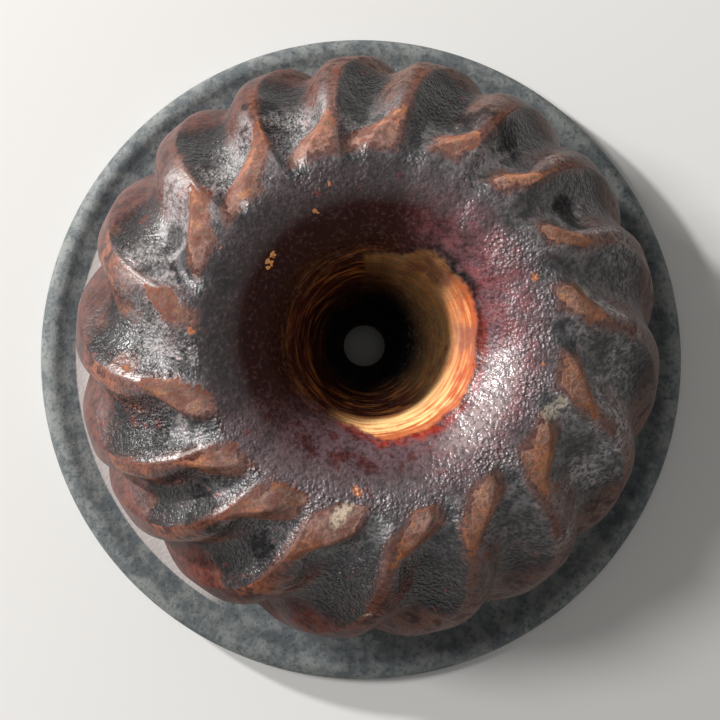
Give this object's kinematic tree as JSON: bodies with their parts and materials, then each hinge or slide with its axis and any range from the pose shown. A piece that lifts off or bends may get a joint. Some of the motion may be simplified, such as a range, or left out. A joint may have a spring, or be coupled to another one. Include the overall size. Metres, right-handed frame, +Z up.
{
  "type": "kugelhopf mould",
  "caption": "Round fluted ring-cake mould in one piece of dark glazed earthenware, with a funnel-mouthed central chimney and a rolled rim on which it rests.",
  "frame": {"origin": "middle of the rim's resting face, on the mould's axis", "axes": "+Z up from the rim to the crown along the mould's axis; +Y is the side towards which the chimney's lower end leans"},
  "size_m": [0.25, 0.25, 0.11],
  "materials": {
    "glazed_clay": "old dark brown to black glaze over red clay, worn to bare clay on the crests and grey on the rim"
  },
  "bodies": {
    "root": {"mould": "glazed_clay"}
  },
  "joints": []
}
